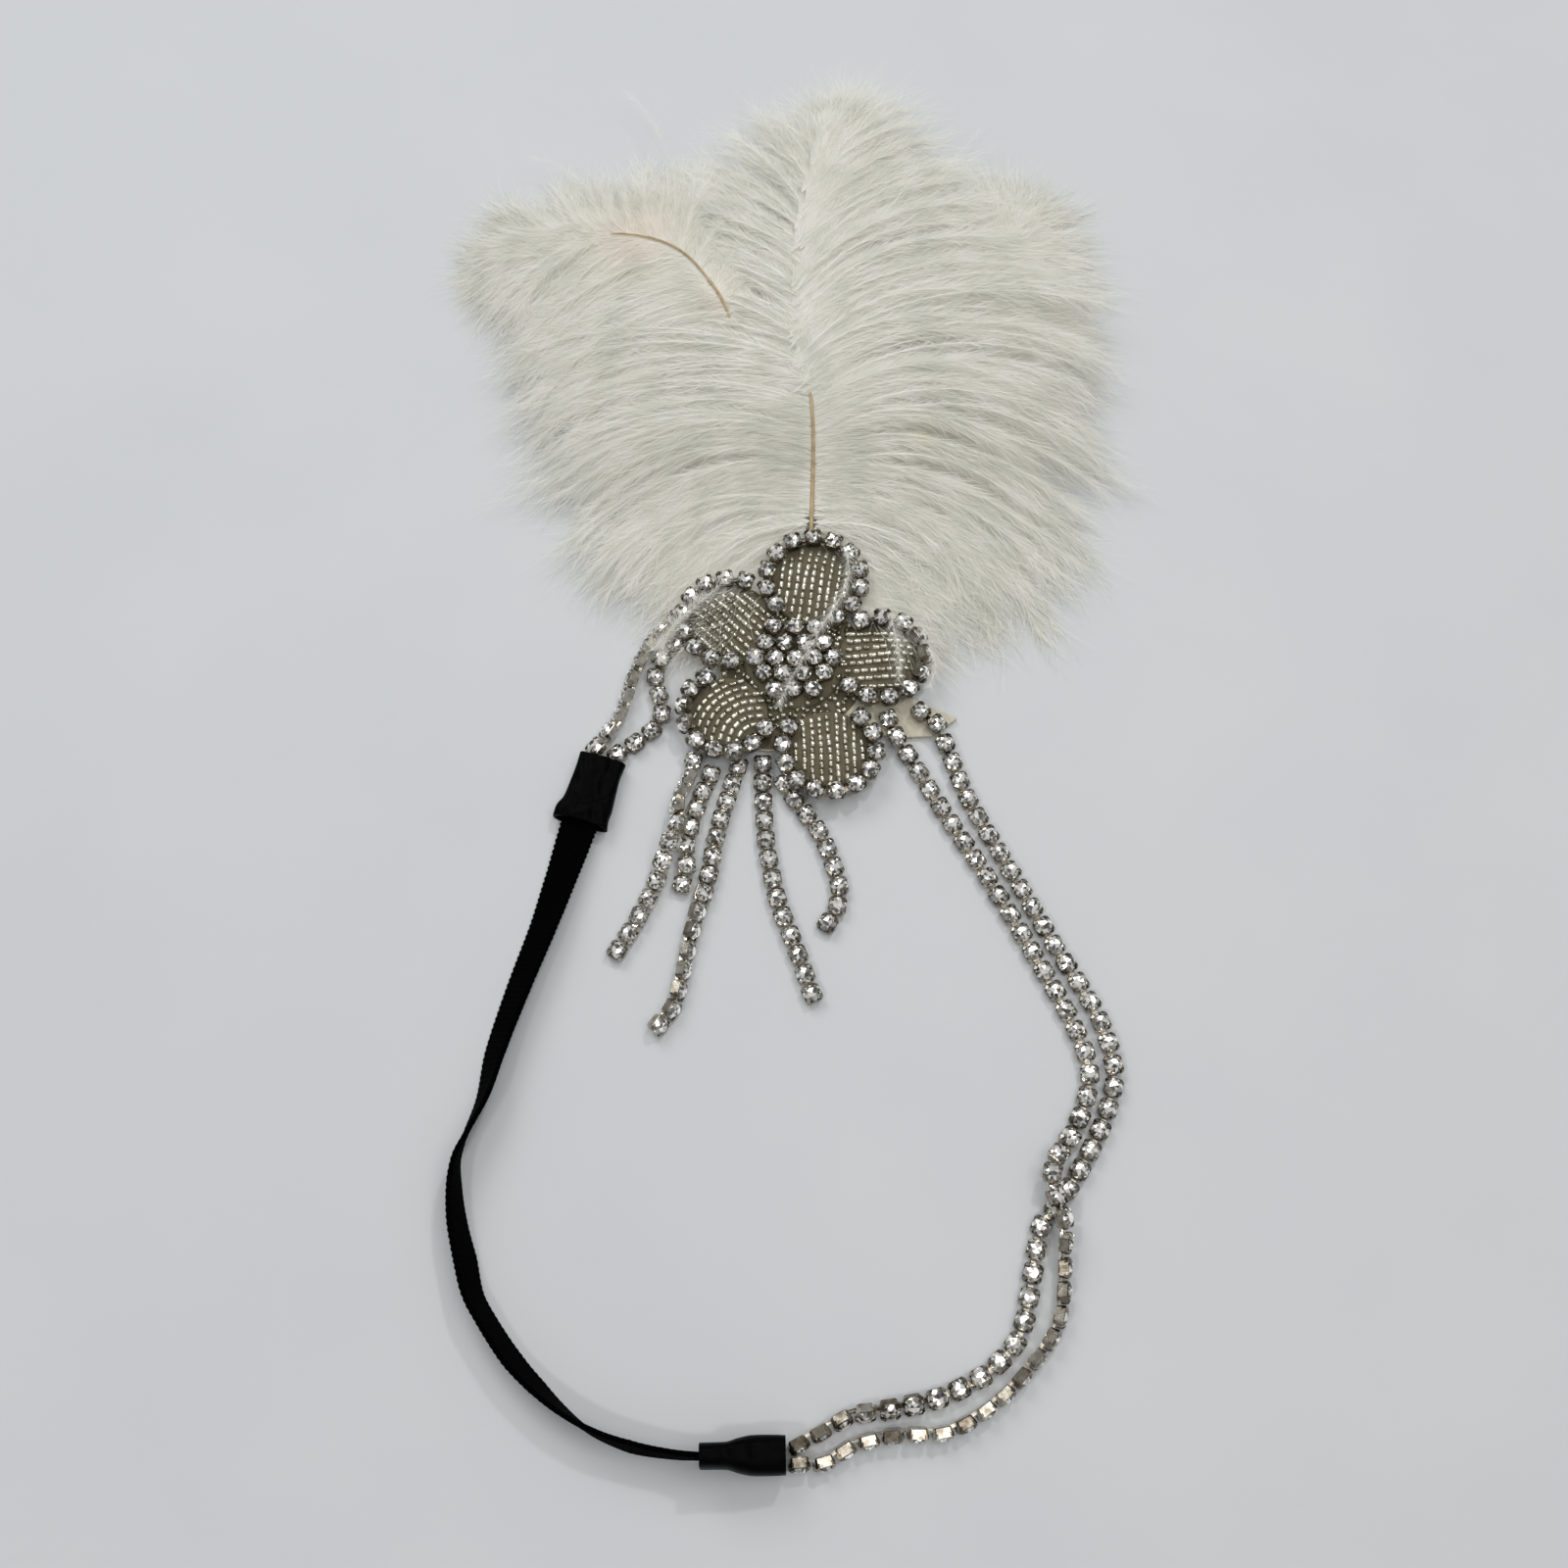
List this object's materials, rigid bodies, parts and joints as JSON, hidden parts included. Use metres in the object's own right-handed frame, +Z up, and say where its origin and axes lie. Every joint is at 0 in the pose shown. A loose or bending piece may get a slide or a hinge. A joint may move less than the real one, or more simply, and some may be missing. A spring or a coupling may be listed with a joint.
{
  "type": "feather headband",
  "caption": "Flapper headband laid flat: flower brooch of set stones and bead rows, ivory ostrich plumes, loose stone strands, and a loop of stone chains and black elastic.",
  "frame": {"origin": "middle of the brooch's flat felt back, on the surface that the headband lies on", "axes": "+X to the right of the brooch, +Y along it towards the plume tips, +Z up out of its stones"},
  "size_m": [0.1729, 0.332, 0.0183],
  "materials": {
    "set_stones": "clear stones in bright silver cups",
    "beaded_net": "beige net under rows of silver lined beads",
    "felt": "cream felt",
    "feather": "ivory ostrich plume",
    "elastic": "black ribbed elastic",
    "satin": "folded black satin",
    "smooth_sleeve": "smooth black, low sheen"
  },
  "bodies": {
    "root": {"brooch_backing": "felt", "petal_top": "beaded_net", "petal_right": "beaded_net", "petal_bottom": "beaded_net", "petal_low_left": "beaded_net", "petal_up_left": "beaded_net", "rim_top": "set_stones", "rim_right": "set_stones", "rim_bottom": "set_stones", "rim_low_left": "set_stones", "rim_up_left": "set_stones", "centre_cluster": "set_stones", "fringe_strand_1": "set_stones", "fringe_strand_2": "set_stones", "fringe_strand_3": "set_stones", "fringe_strand_4": "set_stones", "fringe_strand_5": "set_stones", "side_chain_1": "set_stones", "side_chain_2": "set_stones", "left_chain_1": "set_stones", "left_chain_2": "set_stones", "elastic_band": "elastic", "satin_sleeve": "satin", "end_sleeve": "smooth_sleeve", "plume_back": "feather", "plume_left": "feather", "plume_front": "feather"}
  },
  "joints": []
}
